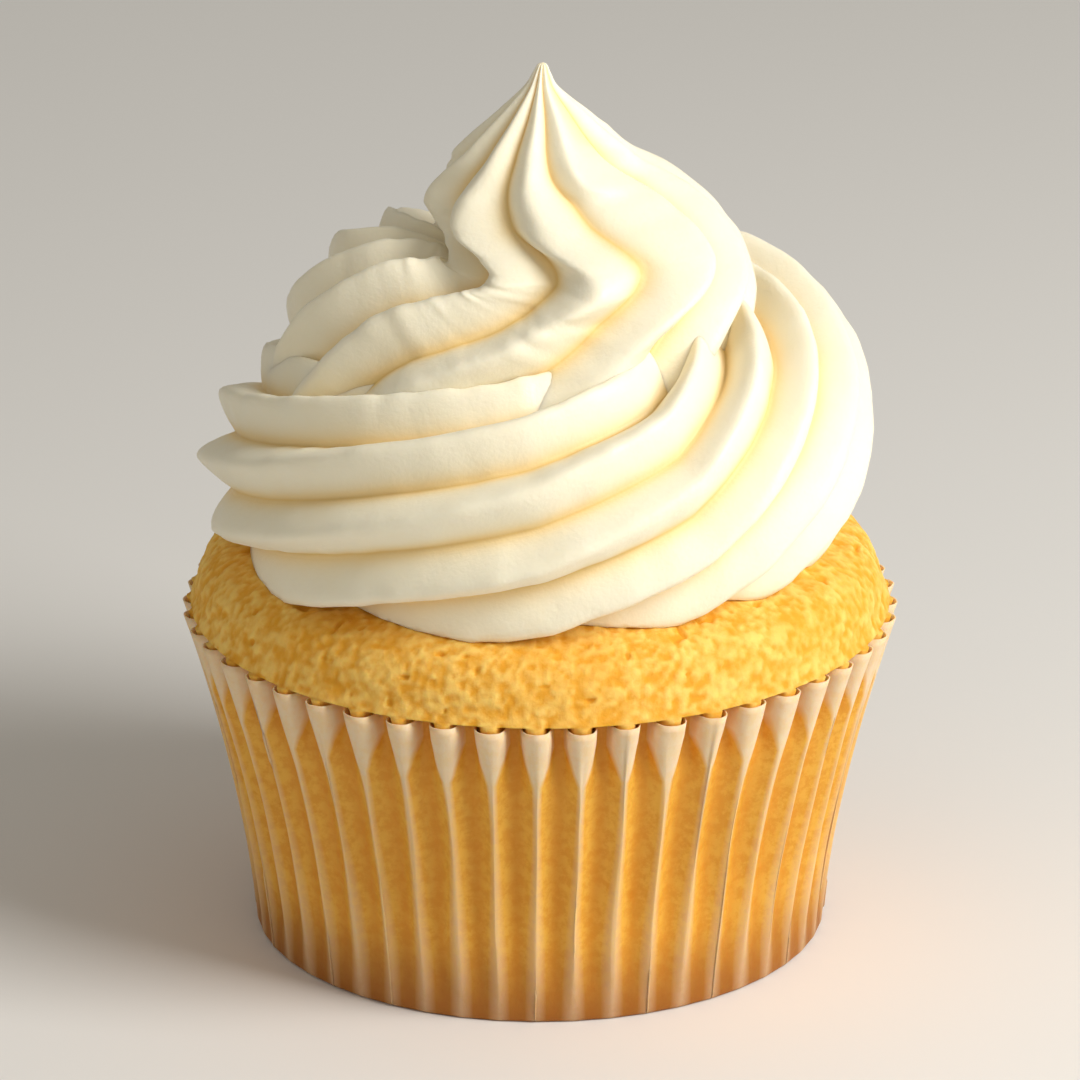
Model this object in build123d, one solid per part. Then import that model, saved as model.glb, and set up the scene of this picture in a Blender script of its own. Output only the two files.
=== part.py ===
from build123d import *
import math
import os

# A frosted cupcake: a sponge in a fluted paper baking cup, topped with a rope of
# buttercream piped through a star nozzle in two rising turns that end in a peak.
# Millimetres, +Z up. The origin is the centre of the cup's underside.

# Paper baking cup
FLUTES = 48
PAPER = 0.12
FOOT_RADIUS = 25.4  # crests of the flutes, where the wall meets the base
RIM_RADIUS = 32.25  # crests of the flutes at the rim
RIM_HEIGHT = 30.3
WALL_BOW = 1.0  # how far the wall's middle lies inside the straight line, foot to rim
FOOT_FLUTE_DEPTH = 0.7
RIM_FLUTE_DEPTH = 1.3
FOOT_CREST_SHARE = 0.25  # of a flute's pitch taken by its outward crest
RIM_CREST_SHARE = 0.5
FLANK_SHARE = 0.1
WALL_SECTIONS = 4

# Sponge
CAKE_GAP = 0.15  # between the sponge and the flutes' inner folds
CAKE_FLOOR_GAP = 0.1
CROWN_RADIUS = 31.0  # where the crust swells just above the rim
CROWN_HEIGHT = 31.8
SHOULDER_RADIUS = 28.4  # where the crown's round meets the shallow dome
SHOULDER_HEIGHT = 36.2
DOME_TOP = 40.5
DOME_RISE = DOME_TOP - SHOULDER_HEIGHT
DOME_RADIUS = (SHOULDER_RADIUS**2 + DOME_RISE**2) / (2 * DOME_RISE)

# Buttercream rope
LOBES = 9
GROOVE_DEPTH = 0.28  # share of the section's radius
TWIST = 1.2  # turns of the star section in one turn of the spiral
SECTIONS_PER_STATION = 4
BED_GAP = 0.15  # between the rope's flattened underside and the crust

# Stations of the rope: angle round the axis, distance from the axis, height,
# half width, half height and upward pitch. It starts at the back right.
LOWER_TURN = [
    (60, 19.0, 44.0, 8.5, 7.5, 0),
    (120, 19.6, 44.3, 9.6, 9.0, 2),
    (180, 20.0, 44.8, 10.2, 10.0, 4),
    (240, 19.8, 45.8, 10.5, 10.6, 6),
    (300, 19.0, 47.5, 11.1, 11.8, 8),
    (360, 18.2, 50.0, 11.6, 12.6, 12),
    (420, 16.4, 54.5, 10.6, 10.4, 12),
]
UPPER_TURN = [
    (420, 16.4, 54.5, 10.6, 10.4, 12),
    (465, 15.0, 57.6, 10.0, 9.0, 8),
    (510, 14.6, 59.0, 9.8, 8.6, 6),
    (555, 14.0, 59.8, 9.8, 8.6, 6),
    (600, 12.6, 60.8, 9.8, 8.8, 7),
    (635, 11.4, 61.6, 9.6, 8.8, 8),
    (660, 10.8, 62.4, 7.0, 6.4, 8),
    (680, 10.2, 62.8, 3.0, 2.8, 8),
]

# Sections of the peak, which stands up from the middle of the upper turn and is
# drawn off to a point: height, centre x and y, radius, and turn of the star.
PEAK = [
    (58.0, 3.0, -3.0, 9.5, 70),
    (62.0, 3.4, -2.8, 11.8, 55),
    (66.0, 3.0, -2.0, 12.4, 40),
    (69.5, 2.0, -1.0, 11.6, 26),
    (72.5, 0.9, -0.3, 9.2, 15),
    (75.0, 0.3, 0.0, 6.3, 8),
    (77.4, 0.1, 0.0, 3.5, 3),
    (79.4, 0.1, 0.0, 1.5, 1),
    (81.3, 0.2, 0.0, 0.3, 0),
]


def mix(low, high, share):
    return low + (high - low) * share


def crest_radius(z):
    """Radius of the flutes' crests at height z: a straight flare with a slight bow."""
    share = z / RIM_HEIGHT
    return mix(FOOT_RADIUS, RIM_RADIUS, share) - WALL_BOW * 4 * share * (1 - share)


def folded_radius(z):
    """Radius of the flutes' inward folds at height z, outside the paper."""
    return crest_radius(z) - mix(FOOT_FLUTE_DEPTH, RIM_FLUTE_DEPTH, z / RIM_HEIGHT)


def fluted_corners(z, inset):
    """Corners of the wall's outline at height z, moved in square to the paper by inset."""
    share = z / RIM_HEIGHT
    crest, fold = crest_radius(z), folded_radius(z)
    crest_end = mix(FOOT_CREST_SHARE, RIM_CREST_SHARE, share) / 2
    fold_start = crest_end + FLANK_SHARE
    flute = [(-fold_start, fold), (-crest_end, crest), (crest_end, crest), (fold_start, fold)]
    outline = []
    for i in range(FLUTES):
        for turn, radius in flute:
            outline.append(Vector(radius, 0, z).rotate(Axis.Z, (i + turn) * 360 / FLUTES))
    corners = []
    for i, corner in enumerate(outline):
        before = (corner - outline[i - 1]).normalized()
        after = (outline[(i + 1) % len(outline)] - corner).normalized()
        inward = Vector(-before.Y - after.Y, before.X + after.X, 0)
        corners.append(corner + inward * (inset / (1 + before.dot(after))))
    return corners


def fluted_wall(bottom, top, inset):
    """The pleated outlines from bottom to top, and the side faces that join them."""
    heights = [mix(bottom, top, i / (WALL_SECTIONS - 1)) for i in range(WALL_SECTIONS)]
    wires = [Wire.make_polygon(fluted_corners(z, inset)) for z in heights]
    solid = Solid.make_loft(wires, ruled=True)
    return wires, solid.faces().filter_by(Axis.Z, reverse=True)


def paper_cup():
    outer_wires, outside = fluted_wall(0, RIM_HEIGHT, 0)
    inner_wires, inside = fluted_wall(PAPER, RIM_HEIGHT, PAPER)
    rim = Face(outer_wires[-1], [inner_wires[-1]])
    floors = [Face(outer_wires[0]), Face(inner_wires[0])]
    return Solid(Shell([*outside, *inside, rim, *floors]))


def fold_radius(z):
    """Clear radius inside the folds of the paper at height z."""
    return folded_radius(z) - PAPER


def sponge_cake():
    floor = PAPER + CAKE_FLOOR_GAP
    heights = (floor, RIM_HEIGHT / 3, RIM_HEIGHT * 2 / 3, RIM_HEIGHT)
    side = Spline(*[(fold_radius(z) - CAKE_GAP, z) for z in heights])
    lip = Line(side @ 1, (CROWN_RADIUS, CROWN_HEIGHT))
    crown = TangentArc(lip @ 1, (SHOULDER_RADIUS, SHOULDER_HEIGHT), tangent=(0, 1))
    dome = RadiusArc((0, DOME_TOP), (SHOULDER_RADIUS, SHOULDER_HEIGHT), DOME_RADIUS)
    axis = Line((0, floor), (0, DOME_TOP))
    foot = Line((0, floor), side @ 0)
    profile = Plane.XZ * make_face([side, lip, crown, dome, axis, foot])
    return revolve(profile, Axis.Z)


def on_the_crust(point):
    """A point of the rope, lifted to the crust where the rope is flattened on it."""
    reach = math.hypot(point.X, point.Y)
    crust = DOME_TOP - DOME_RADIUS + math.sqrt((DOME_RADIUS + BED_GAP) ** 2 - reach**2)
    return Vector(point.X, point.Y, max(point.Z, crust))


def between(stations, place):
    """A station at any place along the list, on a smooth curve through its neighbours."""
    last = len(stations) - 1
    k = min(int(place), last - 1)
    t = place - k
    before, after = stations[max(k - 1, 0)], stations[min(k + 2, last)]
    values = []
    for a, b, c, d in zip(before, stations[k], stations[k + 1], after):
        curve = 2 * b + (c - a) * t + (2 * a - 5 * b + 4 * c - d) * t**2
        values.append(0.5 * (curve + (3 * b - a - 3 * c + d) * t**3))
    return values


def star_wire(centre, across, up, half_width, half_height, turned):
    """A star section: an arc for each lobe, from groove to groove."""

    def at(turn, reach):
        sideways = across * (half_width * reach * math.cos(turn))
        upwards = up * (half_height * reach * math.sin(turn))
        return on_the_crust(centre + sideways + upwards)

    lobe = 2 * math.pi / LOBES
    edges = []
    for i in range(LOBES):
        start = turned + i * lobe
        ends = [at(start, 1 - GROOVE_DEPTH), at(start + lobe, 1 - GROOVE_DEPTH)]
        edges.append(Edge.make_three_point_arc(ends[0], at(start + lobe / 2, 1), ends[1]))
    return Wire(edges)


def rope_section(station):
    """The rope's section at a station, square to the way the rope runs."""
    angle, distance, height, half_width, half_height, pitch = station
    theta, beta = math.radians(angle), math.radians(pitch)
    out = Vector(math.cos(theta), math.sin(theta), 0)
    ahead = Vector(-math.sin(theta), math.cos(theta), 0) * math.cos(beta) + Vector(0, 0, math.sin(beta))
    centre = out * distance + Vector(0, 0, height)
    up = out.cross(ahead)
    return star_wire(centre, out, up, half_width, half_height, TWIST * theta)


def rope_stretch(stations):
    count = (len(stations) - 1) * SECTIONS_PER_STATION
    places = [i / SECTIONS_PER_STATION for i in range(count + 1)]
    return Solid.make_loft([rope_section(between(stations, place)) for place in places])


def peak():
    sections = []
    right, back = Vector(1, 0, 0), Vector(0, 1, 0)
    for height, x, y, radius, turned in PEAK:
        centre = Vector(x, y, height)
        sections.append(star_wire(centre, right, back, radius, radius, math.radians(turned)))
    return Solid.make_loft(sections)


def save(node, shape):
    shape.label = node
    export_step(shape, f"parts/{node}.step")


os.makedirs("parts", exist_ok=True)
save("paper_cup", paper_cup())
save("sponge_cake", sponge_cake())
save("frosting_lower_turn", rope_stretch(LOWER_TURN))
save("frosting_upper_turn", rope_stretch(UPPER_TURN))
save("frosting_peak", peak())
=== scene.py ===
import math

import bpy
import numpy as np
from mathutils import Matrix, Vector


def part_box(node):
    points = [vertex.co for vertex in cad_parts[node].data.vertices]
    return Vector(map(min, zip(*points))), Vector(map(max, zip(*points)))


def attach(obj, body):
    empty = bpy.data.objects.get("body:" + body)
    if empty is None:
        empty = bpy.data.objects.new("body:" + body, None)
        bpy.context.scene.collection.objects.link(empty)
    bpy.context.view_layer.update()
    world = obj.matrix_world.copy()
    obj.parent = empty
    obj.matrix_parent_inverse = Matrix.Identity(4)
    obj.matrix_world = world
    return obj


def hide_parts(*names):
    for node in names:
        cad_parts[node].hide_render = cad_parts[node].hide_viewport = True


# A frosted cupcake. Meshes are worked out in millimetres and scaled to metres as they
# are made. The front is -Y, and angles run counter-clockwise seen from above.

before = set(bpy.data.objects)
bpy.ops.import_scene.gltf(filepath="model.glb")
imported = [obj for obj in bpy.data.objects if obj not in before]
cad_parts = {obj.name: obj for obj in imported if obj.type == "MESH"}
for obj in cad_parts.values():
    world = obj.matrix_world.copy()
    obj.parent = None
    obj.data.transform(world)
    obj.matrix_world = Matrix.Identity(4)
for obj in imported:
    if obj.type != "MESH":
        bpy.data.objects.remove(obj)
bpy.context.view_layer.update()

MM = 0.001
DETAIL = 1.0  # share of the full number of rings and columns

cup_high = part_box("paper_cup")[1] / MM
cake_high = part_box("sponge_cake")[1] / MM

# Paper baking cup
FLUTES = 48
PAPER = 0.12  # thickness
FOOT_RADIUS = 25.8
RIM_RADIUS = cup_high.x
RIM_HEIGHT = cup_high.z
WALL_BOW = 0.9  # how far the wall's middle lies inside the straight line, foot to rim
FLUTE_START = 0.11  # share of a flute between the +X axis and the nearest crest
FOOT_ROUND = 0.4  # radius of the turn from the base to the wall
LOW_DEPTH = 0.5  # depth of the flutes low on the wall
HIGH_DEPTH = 1.15  # and higher up, below the channels
CHANNEL_EXTRA = 1.45  # how much deeper the open channels are at the rim
CHANNEL_LOW = RIM_HEIGHT - 7.4  # where the channels that open towards the rim start
CHANNEL_FULL = RIM_HEIGHT - 1.4  # where they reach their full width
RIDGE_ROUND = 0.14  # rounding of the ridges below the channels, as a share of half a flute

# Sponge
CROWN_RADIUS = 31.0
CROWN_HEIGHT = 31.8
SHOULDER_RADIUS = 28.4
SHOULDER_HEIGHT = 36.2
DOME_TOP = cake_high.z
DOME_RISE = DOME_TOP - SHOULDER_HEIGHT
DOME_RADIUS = (SHOULDER_RADIUS**2 + DOME_RISE**2) / (2 * DOME_RISE)
DOME_CENTRE = DOME_TOP - DOME_RADIUS
SIDE_TOP = RIM_HEIGHT + 0.22  # the paper holds the sponge's side in up to here
OVERHANG = RIM_HEIGHT + 0.32  # the crown hangs over the paper's edge from here
SIDE_INSET = 0.5  # how far the sponge's side lies inside the flutes' crests
RIM_INSET = 0.45  # and at the rim
CAKE_GAP = 0.18  # between the sponge's side and the paper
FOLD_MARGIN = 0.17  # share of half a flute by which the sponge keeps away from the folds

# Buttercream rope
LOBES = 11
BED_GAP = 0.1  # between the rope's flattened underside and the crust
GROOVE_DEPTH = 0.27  # share of the section's radius
CREST_ROUND = 0.22  # rounding of the lobes' crests, as a share of half a lobe
GROOVE_ROUND = 0.05  # and of the grooves
RIPPLE_REACH = 8  # nearer than this to the section's centre, the ripples die away


# ------------------------------------------------------------------ small helpers


def mix(low, high, share):
    return low + (high - low) * share


def smooth_step(low, high, value):
    share = np.clip((value - low) / (high - low), 0, 1)
    return share * share * (3 - 2 * share)


def soften(share, rounding):
    """A straight rise from 0 to 1 whose start is rounded off."""
    full = math.sqrt(1 + rounding**2) - rounding
    return (np.sqrt(share**2 + rounding**2) - rounding) / full


def uneven(run, turn, length, count, height, seed):
    """Smooth random heights, up and down, in cells `length` long and `count` to a turn."""
    u = run / length
    v = turn * count
    rows = int(np.max(u)) + 3
    lattice = np.random.default_rng(seed).uniform(-1, 1, (rows, count))
    i = np.floor(u).astype(int)
    j = np.floor(v).astype(int)
    s = u - i
    t = v - j
    s = s * s * (3 - 2 * s)
    t = t * t * (3 - 2 * t)
    left = j % count
    right = (j + 1) % count
    here = mix(lattice[i, left], lattice[i, right], t)
    ahead = mix(lattice[i + 1, left], lattice[i + 1, right], t)
    return mix(here, ahead, s) * height


def skin_faces(rings, columns):
    """Faces between closed rings of points that follow one another, and over both ends."""
    index = np.arange(rings * columns).reshape(rings, columns)
    after = np.roll(index, -1, axis=1)
    corners = (index[:-1], after[:-1], after[1:], index[1:])
    sides = np.stack([corner.ravel() for corner in corners], axis=1)
    return sides.tolist() + [index[0, ::-1].tolist(), index[-1].tolist()]


def new_piece(name, points, material, body, nodes):
    """A closed skin over rings of points, which takes the place of the body's nodes."""
    rings, columns = points.shape[:2]
    mesh = bpy.data.meshes.new(name)
    mesh.from_pydata((points.reshape(-1, 3) * MM).tolist(), [], skin_faces(rings, columns))
    mesh.update()
    mesh.polygons.foreach_set("use_smooth", [True] * len(mesh.polygons))
    mesh.materials.append(material)
    piece = bpy.data.objects.new(name, mesh)
    bpy.context.scene.collection.objects.link(piece)
    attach(piece, body)
    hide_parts(*nodes)
    return piece


def record_field(piece, name, values):
    """Stores a number for each point, for the material to read."""
    field = piece.data.attributes.new(name, "FLOAT", "POINT")
    field.data.foreach_set("value", np.asarray(values, np.float32).ravel())


# ------------------------------------------------------------------ node helpers


class Nodes:
    """Short ways to make and join a material's nodes.

    Distances are in metres here, and a texture's scale is its number of cells to a metre.
    """

    def __init__(self, name):
        self.material = bpy.data.materials.new(name)
        self.material.use_nodes = True
        self.tree = self.material.node_tree
        self.shader = self.tree.nodes["Principled BSDF"]

    def put(self, value, socket):
        if isinstance(value, bpy.types.NodeSocket):
            self.tree.links.new(value, socket)
        else:
            socket.default_value = value

    def field(self, name):
        node = self.tree.nodes.new("ShaderNodeAttribute")
        node.attribute_name = name
        return node.outputs["Fac"]

    def place(self):
        return self.tree.nodes.new("ShaderNodeTexCoord").outputs["Object"]

    def math(self, operation, a, b, clamp=False):
        node = self.tree.nodes.new("ShaderNodeMath")
        node.operation = operation
        node.use_clamp = clamp
        self.put(a, node.inputs[0])
        self.put(b, node.inputs[1])
        return node.outputs[0]

    def noise(self, scale, detail=3.0, roughness=0.5, vector=None):
        node = self.tree.nodes.new("ShaderNodeTexNoise")
        self.put(scale, node.inputs["Scale"])
        self.put(detail, node.inputs["Detail"])
        self.put(roughness, node.inputs["Roughness"])
        self.put(vector or self.place(), node.inputs["Vector"])
        return node.outputs["Fac"]

    def cells(self, scale):
        node = self.tree.nodes.new("ShaderNodeTexVoronoi")
        self.put(scale, node.inputs["Scale"])
        self.put(self.place(), node.inputs["Vector"])
        return node.outputs["Distance"]

    def stretch(self, x, y, z):
        node = self.tree.nodes.new("ShaderNodeMapping")
        self.put(self.place(), node.inputs["Vector"])
        node.inputs["Scale"].default_value = (x, y, z)
        return node.outputs[0]

    def range(self, value, low, high, to_low=0.0, to_high=1.0, smooth=True):
        node = self.tree.nodes.new("ShaderNodeMapRange")
        node.interpolation_type = "SMOOTHSTEP" if smooth else "LINEAR"
        self.put(value, node.inputs["Value"])
        self.put(low, node.inputs["From Min"])
        self.put(high, node.inputs["From Max"])
        self.put(to_low, node.inputs["To Min"])
        self.put(to_high, node.inputs["To Max"])
        return node.outputs["Result"]

    def blend(self, share, a, b):
        """A blend of two colours, which are the mix node's inputs 6 and 7 and its output 2."""
        node = self.tree.nodes.new("ShaderNodeMix")
        node.data_type = "RGBA"
        self.put(share, node.inputs[0])
        self.put(a, node.inputs[6])
        self.put(b, node.inputs[7])
        return node.outputs[2]

    def bump(self, height, distance, strength, under=None):
        node = self.tree.nodes.new("ShaderNodeBump")
        self.put(height, node.inputs["Height"])
        self.put(distance, node.inputs["Distance"])
        self.put(strength, node.inputs["Strength"])
        if under is not None:
            self.put(under, node.inputs["Normal"])
        return node.outputs[0]

    def set(self, **values):
        for name, value in values.items():
            self.put(value, self.shader.inputs[name.replace("_", " ")])


# ------------------------------------------------------------------ buttercream

# Stations of the rope's turns: heading round the axis, distance from the axis and
# height of the section's centre, half width, half height, climb. It starts at the back.
TURNS = [
    (52, 18.3, 41.5, 1.0, 1.0, 0),
    (56, 18.4, 42.0, 5.0, 4.6, 0),
    (64, 18.5, 42.6, 7.6, 7.4, 0),
    (90, 18.8, 43.0, 9.0, 9.5, 2),
    (120, 19.3, 42.6, 9.8, 10.2, 2),
    (150, 19.8, 42.8, 10.3, 10.9, 3),
    (180, 20.0, 43.3, 10.6, 11.7, 4),
    (210, 19.8, 44.2, 10.5, 12.1, 5),
    (240, 19.5, 45.0, 10.7, 12.4, 6),
    (270, 19.2, 45.8, 10.9, 12.8, 7),
    (300, 18.9, 46.6, 11.1, 12.8, 8),
    (330, 19.1, 47.6, 11.4, 13.4, 10),
    (360, 18.5, 48.4, 11.5, 13.2, 8),
    (390, 17.8, 49.2, 11.4, 13.3, 4),
    (420, 16.0, 49.2, 11.2, 13.3, 2),
    (450, 14.8, 49.2, 11.1, 13.8, 2),
    (480, 13.9, 49.4, 11.2, 14.4, 4),
    (510, 13.3, 50.0, 11.3, 15.0, 9),
    (540, 12.9, 51.0, 11.3, 15.0, 16),
    (570, 11.9, 52.2, 11.2, 14.4, 22),
]
# Stations of the bend that stands the rope up, and of the peak: centre x, y and
# height, heading, half width, half height, climb.
BEND = [
    (-5.9, -9.1, 54.1, 598, 11.3, 13.5, 29),
    (-1.8, -9.3, 55.4, 615, 11.8, 13.3, 39),
    (1.9, -8.0, 57.3, 630, 12.7, 13.7, 52),
    (4.6, -6.1, 60.5, 645, 13.0, 14.2, 70),
    (5.5, -4.4, 64.3, 655, 13.3, 13.8, 83),
    (3.9, -2.6, 67.2, 663, 13.4, 13.0, 90),
    (1.4, -1.0, 69.4, 668, 11.8, 11.7, 95),
    (0.1, -0.3, 71.7, 672, 9.0, 9.0, 95),
    (0.0, 0.0, 74.2, 675, 6.5, 6.6, 94),
    (0.1, 0.0, 76.8, 676, 3.8, 3.8, 92),
    (0.1, 0.0, 79.0, 676, 1.6, 1.6, 90),
    (0.15, 0.0, 80.4, 676, 0.8, 0.8, 90),
    (0.2, 0.0, 81.1, 676, 0.45, 0.45, 90),
    (0.2, 0.0, 81.3, 676, 0.05, 0.05, 90),
]
# How far the star has turned in the section, in degrees, against the heading.
STAR_TURN = [
    (52, -150),
    (180, -28),
    (210, -10),
    (240, 11),
    (270, 28),
    (300, 54),
    (330, 101),
    (360, 140),
    (390, 174),
    (420, 205),
    (450, 236),
    (480, 250),
    (510, 267),
    (542, 300),
    (550, 312),
    (560, 329),
    (570, 341),
    (580, 354),
    (590, 365),
    (600, 374),
    (617, 383),
    (630, 387),
    (645, 392),
    (655, 396),
    (662, 402),
    (668, 409),
    (673, 413),
    (676, 415),
]
# Where the rope stands up it is stretched unevenly. Angles in the section, in radians:
WIDE_EDGE = math.radians(18)  # one edge of the lobe that is drawn out wide at the peak
WIDE_SPAN = 0.84  # how far it reaches from there
WIDE_FADE = 4.68  # where the lobes beyond it are back in place
WIDE_LEAN = 0.52
SPREAD_MIDDLE = math.radians(67)  # the lobes spread to both sides of this, below the peak
SPREAD_LEAN = 0.34


def rope_stations():
    """Every station as centre x, y and z, heading, climb, half width and half height."""
    rows = []
    for heading, reach, height, half_width, half_height, climb in TURNS:
        angle = math.radians(heading)
        x = reach * math.cos(angle)
        y = reach * math.sin(angle)
        rows.append((x, y, height, heading, climb, half_width, half_height))
    for x, y, height, heading, half_width, half_height, climb in BEND:
        rows.append((x, y, height, heading, climb, half_width, half_height))
    return np.array(rows)


def along_curve(rows, places):
    """Values at any place along the rows, on a smooth curve through them."""
    last = len(rows) - 1
    k = np.clip(places.astype(int), 0, last - 1)
    t = (places - k)[:, None]
    a = rows[np.clip(k - 1, 0, last)]
    b = rows[k]
    c = rows[k + 1]
    d = rows[np.clip(k + 2, 0, last)]
    bend = 2 * a - 5 * b + 4 * c - d
    return 0.5 * (2 * b + (c - a) * t + bend * t**2 + (3 * b - a - 3 * c + d) * t**3)


def lean(angle, heading):
    """How far a place at this angle in the section is turned aside by the stretch."""
    past_edge = (WIDE_EDGE - angle) % (2 * math.pi)
    wide = smooth_step(0, WIDE_SPAN, past_edge) - smooth_step(WIDE_SPAN, WIDE_FADE, past_edge)
    spread = -np.sin(angle - SPREAD_MIDDLE)
    bent = smooth_step(645, 662, heading) * smooth_step(676, 670, heading)
    peak = smooth_step(650, 670, heading) * (1 - 0.25 * bent)
    return WIDE_LEAN * wide * peak + SPREAD_LEAN * spread * bent


def lobe_angles(turned, heading, lobes):
    """Angles in each section, one row a section, of the same places across the lobes."""
    scan = np.linspace(-2 * math.pi, 4 * math.pi, 1440)
    rows = []
    for turn, at in zip(turned, heading):
        wanted = (turn - lobes * 2 * math.pi / LOBES) % (2 * math.pi)
        rows.append(np.interp(wanted, scan + lean(scan, at), scan))
    return np.array(rows)


def groove_share(lobes):
    """How deep in its groove a place across the lobes lies: 0 on a crest, 1 in a groove."""
    share = soften(2 * np.abs(lobes - np.round(lobes)), CREST_ROUND)
    return 1 - soften(1 - share, GROOVE_ROUND)


def rope_points(rings, columns):
    """Points of the rope from its start to its tip, and each point's groove, run and lobe."""
    stations = rope_stations()
    rows = along_curve(stations, np.linspace(0, len(stations) - 1, rings))
    centre = rows[:, :3]
    heading = np.radians(rows[:, 3])
    climb = np.radians(rows[:, 4])[:, None]
    half_width = rows[:, 5][:, None]
    half_height = rows[:, 6][:, None]
    turned = np.radians(np.interp(rows[:, 3], *zip(*STAR_TURN)))
    flat = np.zeros(rings)
    out = np.stack([np.cos(heading), np.sin(heading), flat], axis=1)
    level = np.stack([-np.sin(heading), np.cos(heading), flat], axis=1)
    ahead = np.cos(climb) * level + np.sin(climb) * np.array([0, 0, 1])
    up = np.cross(out, ahead)
    lobes = LOBES * np.arange(columns) / columns
    angle = lobe_angles(turned, rows[:, 3], lobes)
    steps = np.linalg.norm(np.diff(centre, axis=0), axis=1)
    run = np.concatenate([[0], np.cumsum(steps)])[:, None] + 0 * angle
    lobes = lobes + 0 * angle
    groove = groove_share(lobes)
    reach = 1 - GROOVE_DEPTH * groove
    wide = half_width * reach * np.cos(angle)
    high = half_height * reach * np.sin(angle)
    points = centre[:, None] + wide[..., None] * out[:, None] + high[..., None] * up[:, None]
    return points, groove, run, lobes


def rippled(points, groove, run, lobes):
    """The points with the faint cross wrinkles that the rope gets as it leaves the nozzle."""
    outward = points - points.mean(axis=1, keepdims=True)
    size = np.linalg.norm(outward, axis=2, keepdims=True)
    outward /= np.maximum(size, 1e-6)
    turn = lobes / LOBES
    wrinkles = uneven(run, turn, length=1.3, count=3 * LOBES, height=0.13, seed=1)
    swell = uneven(run, turn, length=6, count=2 * LOBES, height=0.16, seed=2)
    ragged = uneven(run, turn, length=0.8, count=10 * LOBES, height=0.06, seed=3)
    height = wrinkles + swell + ragged * smooth_step(0.5, 0.0, groove)
    height = height[..., None] * np.clip(size / RIPPLE_REACH, 0, 1) ** 2
    return points + outward * height


def on_the_crust(points):
    """The points, lifted to the crust where the rope is flattened on it."""
    reach = np.minimum(np.hypot(points[..., 0], points[..., 1]), DOME_RADIUS)
    crust = DOME_CENTRE + np.sqrt((DOME_RADIUS + BED_GAP) ** 2 - reach**2)
    lifted = points.copy()
    lifted[..., 2] = np.maximum(points[..., 2], crust)
    return lifted


def buttercream_material():
    """Smooth and cream-coloured, with painted shade that turns it golden deep in the grooves.
    """
    m = Nodes("buttercream")
    cream = (0.94, 0.88, 0.71, 1)
    golden = (0.90, 0.62, 0.19, 1)
    # Painted shade: the grooves are tinted golden by the fourth power of their depth, and faint
    # random flecks of tone are added.
    deep = m.math("POWER", m.field("groove"), 4.0)
    fleck = m.math("MULTIPLY", m.noise(260.0, 2.0), 0.10)
    crease_shade_and_fleck = m.math("ADD", m.math("MULTIPLY", deep, 0.85), fleck, clamp=True)
    m.set(Base_Color=m.blend(crease_shade_and_fleck, cream, golden))
    m.set(Roughness=m.range(m.noise(700.0), 0.3, 0.7, 0.42, 0.56))
    m.set(Subsurface_Weight=0.4, Subsurface_Radius=(1.0, 0.9, 0.75), Subsurface_Scale=0.0006)
    m.set(Specular_IOR_Level=0.4)
    grain = m.bump(m.noise(2400.0, 4.0, 0.6), 0.00006, 0.5)
    m.set(Normal=m.bump(m.noise(600.0, 3.0), 0.00015, 0.35, grain))
    return m.material


def buttercream():
    """The rope, from its start at the back to the tip of the peak, as one closed skin."""
    rings = int(568 * DETAIL)
    columns = LOBES * (16 if DETAIL == 1 else 10)
    points, groove, run, lobes = rope_points(rings, columns)
    points = on_the_crust(rippled(points, groove, run, lobes))
    nodes = ["frosting_lower_turn", "frosting_upper_turn", "frosting_peak"]
    piece = new_piece("buttercream", points, buttercream_material(), "cake", nodes)
    record_field(piece, "groove", groove)


# ------------------------------------------------------------------ paper cup

# Half a flute, from the middle of its crest to the middle of a fold, by shares: the way
# along the paper, how far across and how deep in the open channel at the rim, and how far
# across below the channel.
HALF_FLUTE = [
    (0.00, 0.00, 0.00, 0.00),
    (0.15, 0.24, 0.03, 0.05),
    (0.30, 0.46, 0.13, 0.12),
    (0.42, 0.60, 0.30, 0.20),
    (0.52, 0.67, 0.50, 0.30),
    (0.75, 0.71, 0.92, 0.58),
    (0.85, 0.78, 0.99, 0.76),
    (1.00, 1.00, 1.00, 1.00),
]


def crest_radius(z):
    """Radius of the flutes' crests at height z: a straight flare with a slight bow."""
    share = z / RIM_HEIGHT
    return mix(FOOT_RADIUS, RIM_RADIUS, share) - WALL_BOW * 4 * share * (1 - share)


def flute_depth(z):
    """Depth of the folds at height z: almost nothing at the base, most in the channels."""
    wall = mix(LOW_DEPTH, HIGH_DEPTH, smooth_step(0, 16, z))
    wall = wall + CHANNEL_EXTRA * smooth_step(CHANNEL_LOW, RIM_HEIGHT, z)
    return wall * mix(0.12, 1, smooth_step(0, 5, z))


def flute_curve(way, z):
    """How far across a flute and how deep in it the paper runs, by shares of the way along."""
    ways, channel_across, channel_deep, ridge_across = np.array(HALF_FLUTE).T
    opened = np.clip((z - CHANNEL_LOW) / (CHANNEL_FULL - CHANNEL_LOW), 0, 1)
    ridge = np.interp(way, ways, ridge_across)
    ridge_deep = 1 - (1 - soften(ridge, RIDGE_ROUND)) ** 2
    across = mix(ridge, np.interp(way, ways, channel_across), opened)
    deep = mix(ridge_deep, np.interp(way, ways, channel_deep), opened)
    return across, deep


def wall_wander(turn, z):
    """How far the flutes stray round the cup, as a share of a flute, and outwards."""
    along = uneven(z, turn, length=9, count=FLUTES, height=0.05, seed=5)
    outward = uneven(z, turn, length=12, count=FLUTES, height=0.12, seed=6)
    return along, outward * smooth_step(4, 25, z)


def foot_inset(z):
    """How far the turn from the base to the wall lies inside the wall."""
    below = np.clip(FOOT_ROUND - z, 0, FOOT_ROUND)
    return FOOT_ROUND - np.sqrt(FOOT_ROUND**2 - below**2)


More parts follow.
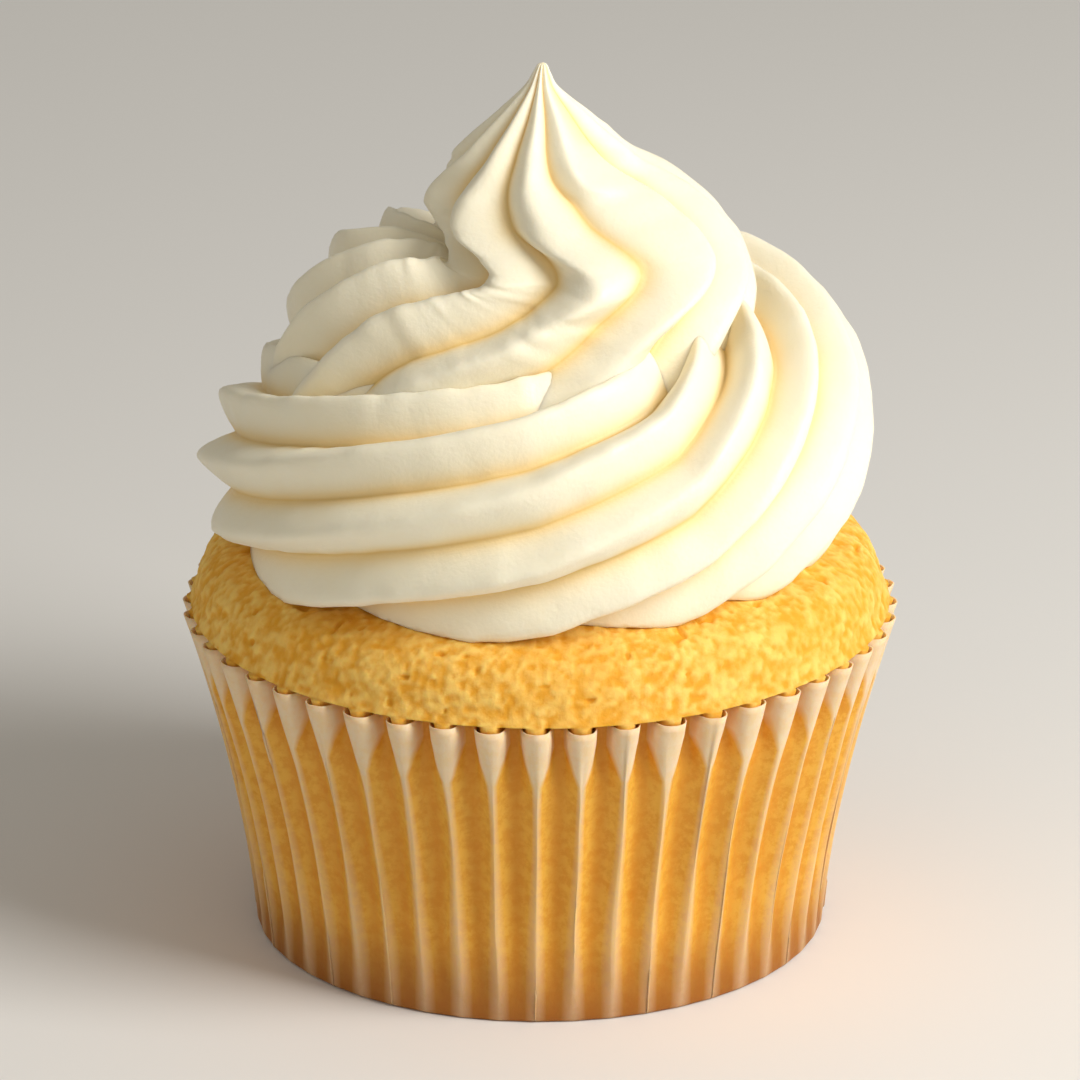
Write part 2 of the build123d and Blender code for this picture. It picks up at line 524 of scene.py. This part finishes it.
def paper_rows():
    """Heights of the rings of points, which are close together round the foot's turn."""
    foot = FOOT_ROUND * (1 - np.cos(np.linspace(0, math.pi / 2, 5)[:-1]))
    wall = np.linspace(FOOT_ROUND, RIM_HEIGHT, int(44 * DETAIL) - len(foot))
    return np.concatenate([foot, wall])[:, None]


def paper_rings():
    """Each point's height, turn round the cup, share across its half flute, and radius."""
    half = 10 if DETAIL == 1 else 8
    columns = FLUTES * half * 2
    z = paper_rows() + np.zeros(columns)
    flute, step = np.divmod(np.arange(columns), 2 * half)
    way = 1 - np.abs(1 - step / half)
    across, deep = flute_curve(way + 0 * z, z)
    along, outward = wall_wander(flute / FLUTES + 0 * z, z)
    within = np.where(step <= half, across / 2, 1 - across / 2)
    turn = (flute + within - FLUTE_START - along) / FLUTES
    radius = crest_radius(z) - flute_depth(z) * deep - foot_inset(z) + outward
    return z, turn, across, radius


def inward_normals(flat):
    """Unit vectors into the cup, square to each ring of points as seen from above."""
    run = np.roll(flat, -1, axis=1) - np.roll(flat, 1, axis=1)
    inward = np.stack([-run[..., 1], run[..., 0]], axis=2)
    return inward / np.linalg.norm(inward, axis=2, keepdims=True)


def paper_cup():
    """The cup as one closed skin: up its outside, over its edge and down its inside."""
    z, turn, across, radius = paper_rings()
    angle = 2 * math.pi * turn
    flat = np.stack([radius * np.cos(angle), radius * np.sin(angle)], axis=2)
    rise = z / RIM_HEIGHT
    edge = uneven(0 * z, turn, length=1, count=FLUTES, height=0.14, seed=7)
    outside_z = z + edge * rise**3
    inside_z = outside_z + PAPER * (1 - rise)
    outside = np.concatenate([flat, outside_z[..., None]], axis=2)
    inside = np.concatenate([flat + inward_normals(flat) * PAPER, inside_z[..., None]], axis=2)
    points = np.concatenate([outside, inside[::-1]])
    piece = new_piece("baking_cup", points, paper_material(), "paper_cup", ["paper_cup"])
    record_field(piece, "flute", np.concatenate([across, across[::-1]]))
    record_field(piece, "rise", np.concatenate([rise, rise[::-1]]))


def dry_and_highlight_band(m, level, flute):
    """The pale band along each crest, which widens into the channels near the rim: there it is
    dry paper, and lower down it is a painted highlight along the crests that widens again
    towards the foot.
    """
    near_rim = m.range(level, 0.76, 0.93, 0.0, 0.80, smooth=False)
    # Painted highlight: below the channels the pale band runs along each crest and widens
    # towards the foot.
    below = m.range(level, 0.0, 0.7, 0.62, 0.24)
    reach = m.math("MAXIMUM", near_rim, below)
    soft = m.range(level, 0.2, 0.85, 0.60, 0.16)
    return m.math("DIVIDE", m.math("SUBTRACT", reach, flute), soft, clamp=True)


def paper_stain_and_shade(m, level, flute, mottle):
    """Colour of the stained paper: darker in patches and spots of stain, darker in the folds as
    painted shade, and darker and browner at the foot, partly browned in baking and partly
    painted shade.
    """
    honey = (0.85, 0.43, 0.06, 1)
    amber = (0.66, 0.22, 0.004, 1)
    browned_and_shaded = (0.30, 0.095, 0.01, 1)
    # Painted shade: the folds between the crests are painted darker amber.
    painted_fold_shade = m.range(flute, 0.35, 1.0)
    stain_and_shade = m.blend(m.math("MULTIPLY", painted_fold_shade, 0.55), honey, amber)
    stain_and_shade = m.blend(m.range(mottle, 0.4, 0.62, 0.0, 0.45), stain_and_shade, amber)
    # Darker and browner towards the foot: partly the paper's browning in the oven, partly
    # painted shade.
    foot = m.math("MULTIPLY", m.range(level, 0.0, 0.30, 1.0, 0.0), 0.88)
    stain_and_shade = m.blend(foot, stain_and_shade, browned_and_shaded)
    spots = m.range(m.cells(105.0), 0.05, 0.11, 0.7, 0.0)
    above_foot = m.range(m.field("rise"), 0.15, 0.3)
    return m.blend(m.math("MULTIPLY", spots, above_foot), stain_and_shade, amber)


def paper_material():
    """Greaseproof paper, stained by the cake, pale where it is dry, with a painted highlight
    along the crests and painted shade in the folds and at the foot.
    """
    m = Nodes("greaseproof_paper")
    pale = (0.86, 0.63, 0.42, 1)
    flute = m.field("flute")
    wander = m.math("MULTIPLY", m.math("SUBTRACT", m.noise(260.0), 0.5), 0.05)
    level = m.math("ADD", m.field("rise"), wander)
    mottle = m.noise(900.0, 5.0, 0.7)
    dry_and_highlight = dry_and_highlight_band(m, level, flute)
    # The pale band, dry paper near the rim and a painted highlight along the crests lower down,
    # is strongest near the rim, and weaker in patches and at the foot.
    strength = m.range(level, 0.72, 0.86, 0.66, 0.95)
    strength = m.math("MULTIPLY", strength, m.range(mottle, 0.38, 0.6, 0.8, 1.0))
    strength = m.math("MULTIPLY", strength, m.range(level, 0.0, 0.3, 0.62, 1.0))
    stain_and_shade = paper_stain_and_shade(m, level, flute, mottle)
    m.set(Base_Color=m.blend(m.math("MULTIPLY", dry_and_highlight, strength), stain_and_shade, pale))
    m.set(Roughness=m.range(dry_and_highlight, 0, 1, 0.5, 0.65))
    m.set(Subsurface_Weight=0.3, Subsurface_Radius=(1.0, 0.45, 0.12), Subsurface_Scale=0.0008)
    m.set(Specular_IOR_Level=0.25)
    fibres = m.noise(1500.0, 4.0, 0.65, m.stretch(1, 1, 0.5))
    crinkle = m.bump(m.noise(330.0, 2.0), 0.00018, 0.4)
    m.set(Normal=m.bump(fibres, 0.00007, 0.6, crinkle))
    return m.material


# ------------------------------------------------------------------ sponge


def barrel_radius(z):
    """Radius of the sponge's side where the paper leaves it room."""
    return crest_radius(z) - mix(SIDE_INSET, RIM_INSET, smooth_step(CHANNEL_LOW, RIM_HEIGHT, z))


def room_in_cup(turn, z):
    """Greatest radius the sponge can have inside the paper."""
    along, outward = wall_wander(turn, z)
    flute = turn * FLUTES + FLUTE_START + along
    place = np.clip(2 * np.abs(flute - np.round(flute)) + FOLD_MARGIN, 0, 1)
    way = np.linspace(0, 1, 60)
    share = np.zeros(z.shape)
    for row, height in enumerate(z[:, 0]):
        across, deep = flute_curve(way, height)
        share[row] = np.interp(place[row], across, deep)
    wall = crest_radius(z) - flute_depth(z) * share + outward - foot_inset(z - PAPER)
    return wall - PAPER - CAKE_GAP


def sponge_outline():
    """Radius and height of the sponge from its foot up the side and over the dome."""
    side_z = np.linspace(PAPER + 0.1, SIDE_TOP, int(50 * DETAIL))
    side = np.stack([barrel_radius(side_z), side_z], axis=1)
    dome_edge = 0.9 * math.asin(SHOULDER_RADIUS / DOME_RADIUS)
    dome_angle = np.linspace(dome_edge, 0.001, int(30 * DETAIL))
    dome_z = DOME_CENTRE + DOME_RADIUS * np.cos(dome_angle)
    dome = np.stack([DOME_RADIUS * np.sin(dome_angle), dome_z], axis=1)
    bulge = [
        (CROWN_RADIUS + 0.5, OVERHANG),
        (CROWN_RADIUS, CROWN_HEIGHT),
        (CROWN_RADIUS - 0.5, CROWN_HEIGHT + 1.7),
        (SHOULDER_RADIUS + 1.1, SHOULDER_HEIGHT - 1.0),
        (SHOULDER_RADIUS - 0.3, SHOULDER_HEIGHT + 0.05),
        dome[0],
    ]
    crown = along_curve(np.array(bulge), np.linspace(0, len(bulge) - 1, int(46 * DETAIL)))
    return np.concatenate([side, crown, dome[1:]])


def crumb(run, turn):
    """Heights of the sponge's crumb, and its grain: 0 in the pits, 1 on the grains, which the
    material uses for painted shade in the pits.
    """
    lumps = uneven(run, turn, length=3.2, count=60, height=0.09, seed=11)
    crumbs = uneven(run, turn, length=0.8, count=240, height=0.09, seed=12)
    grains = uneven(run, turn, length=0.45, count=430, height=0.08, seed=13)
    bubbles = uneven(run, turn, length=1.3, count=150, height=1, seed=14)
    holes = -0.40 * smooth_step(0.76, 0.98, bubbles)
    grain = np.clip(0.5 + (crumbs + grains + holes * 0.7) / 0.34, 0, 1)
    return lumps + crumbs + grains + holes, grain


def outline_normals(outline):
    """Unit vectors out of the cake, square to its outline."""
    slope = np.gradient(outline, axis=0)
    normal = np.stack([slope[:, 1], -slope[:, 0]], axis=1)
    return normal / np.linalg.norm(normal, axis=1, keepdims=True)


def sponge():
    """The cake as one closed skin, pressed into the paper and crumbly above it."""
    outline = sponge_outline()
    normal = outline_normals(outline)
    columns = int(768 * DETAIL)
    steps = np.hypot(*np.diff(outline, axis=0).T)
    run = np.concatenate([[0], np.cumsum(steps)])[:, None] + np.zeros(columns)
    turn = np.arange(columns) / columns + 0 * run
    radius = outline[:, :1] + 0 * run
    z = outline[:, 1:] + 0 * run
    relief, grain = crumb(run, turn)
    free = smooth_step(RIM_HEIGHT - 1, RIM_HEIGHT + 1, z)
    relief = relief * mix(0.5, 1, free) * smooth_step(2, 12, radius)
    room = np.where(z <= SIDE_TOP, room_in_cup(turn, z), np.inf)
    out = np.minimum(radius + normal[:, :1] * relief, room + np.minimum(relief, 0) * 0.5)
    up = z + normal[:, 1:] * relief * smooth_step(RIM_HEIGHT + 0.3, RIM_HEIGHT + 1.5, z)
    angle = 2 * math.pi * turn
    points = np.stack([out * np.cos(angle), out * np.sin(angle), up], axis=2)
    piece = new_piece("sponge", points, sponge_material(), "cake", ["sponge_cake"])
    record_field(piece, "grain", grain)
    record_field(piece, "side", 1 - free)


def sponge_material():
    """Golden crumb, with painted shade that keeps it golden in the pits and lighter on its
    grains, a few deeper patches and a brown side.
    """
    m = Nodes("sponge_crumb")
    light = (0.92, 0.60, 0.15, 1)
    golden = (0.78, 0.36, 0.025, 1)
    brown = (0.60, 0.27, 0.03, 1)
    speck = m.math("MULTIPLY", m.noise(1100.0, 3.0, 0.6), 0.5)
    # Painted shade: the colour follows the crumb's relief, golden in the pits and low places
    # and lighter on the raised grains.
    share = m.math("ADD", m.math("MULTIPLY", m.field("grain"), 0.7), speck)
    colour = m.blend(m.range(share, 0.35, 0.85), golden, light)
    patches = m.range(m.noise(95.0, 3.0), 0.45, 0.75, 0.0, 0.5)
    colour = m.blend(patches, colour, golden)
    colour = m.blend(m.math("MULTIPLY", m.field("side"), 0.6), colour, brown)
    m.set(Base_Color=colour, Roughness=0.82)
    m.set(Subsurface_Weight=0.3, Subsurface_Radius=(1.0, 0.5, 0.15), Subsurface_Scale=0.0012)
    m.set(Specular_IOR_Level=0.25)
    pores = m.bump(m.cells(1300.0), 0.00018, 0.3)
    m.set(Normal=m.bump(m.noise(1900.0, 4.0, 0.7), 0.00018, 0.45, pores))
    return m.material


# ------------------------------------------------------------------ studio, in metres

LAMP_TARGET = Vector((0, 0, 0.045))
CAMERA_TARGET = Vector((0, 0, 0.03603))
CAMERA_DISTANCE = 0.9
CAMERA_ELEVATION = math.radians(21.298)


def floor():
    """A pale, faintly uneven floor that runs out of sight."""
    half = 6.0
    corners = [(-half, -half, 0), (half, -half, 0), (half, half, 0), (-half, half, 0)]
    mesh = bpy.data.meshes.new("floor")
    mesh.from_pydata(corners, [], [(0, 1, 2, 3)])
    m = Nodes("pale_floor")
    tone = m.range(m.noise(3.0), 0.3, 0.7, 0.0, 0.06)
    m.set(Base_Color=m.blend(tone, (0.80, 0.79, 0.77, 1), (0.72, 0.71, 0.69, 1)), Roughness=0.7)
    mesh.materials.append(m.material)
    plane = bpy.data.objects.new("floor", mesh)
    bpy.context.scene.collection.objects.link(plane)


def soft_light(name, place, size, watts, colour):
    light = bpy.data.lights.new(name, "AREA")
    light.size = size
    light.energy = watts
    light.color = colour
    lamp = bpy.data.objects.new(name, light)
    bpy.context.scene.collection.objects.link(lamp)
    lamp.location = place
    lamp.rotation_mode = "QUATERNION"
    lamp.rotation_quaternion = (Vector(place) - LAMP_TARGET).to_track_quat("Z", "Y")


def studio():
    """A soft lamp high on the right, a faint one on the left, and a warm, dim room."""
    soft_light("key", (0.36, -0.20, 0.34), size=0.26, watts=2.8, colour=(1.0, 0.98, 0.95))
    soft_light("fill", (-0.35, -0.45, 0.22), size=0.5, watts=0.3, colour=(1.0, 0.96, 0.90))
    world = bpy.data.worlds.new("studio")
    bpy.context.scene.world = world
    world.use_nodes = True
    background = world.node_tree.nodes["Background"]
    background.inputs["Color"].default_value = (1.0, 0.95, 0.85, 1)
    background.inputs["Strength"].default_value = 0.33


def camera():
    """A long lens from the front, a little above the object."""
    back = Vector((0, -math.cos(CAMERA_ELEVATION), math.sin(CAMERA_ELEVATION)))
    lens = bpy.data.cameras.new("camera")
    lens.sensor_width = 36
    lens.lens = 333.4
    lens.clip_start = 0.01
    view = bpy.data.objects.new("camera", lens)
    bpy.context.scene.collection.objects.link(view)
    view.location = CAMERA_TARGET + back * CAMERA_DISTANCE
    view.rotation_mode = "QUATERNION"
    view.rotation_quaternion = back.to_track_quat("Z", "Y")
    bpy.context.scene.camera = view
    bpy.context.scene.view_settings.view_transform = "Standard"


camera()
studio()
floor()
paper_cup()
sponge()
buttercream()
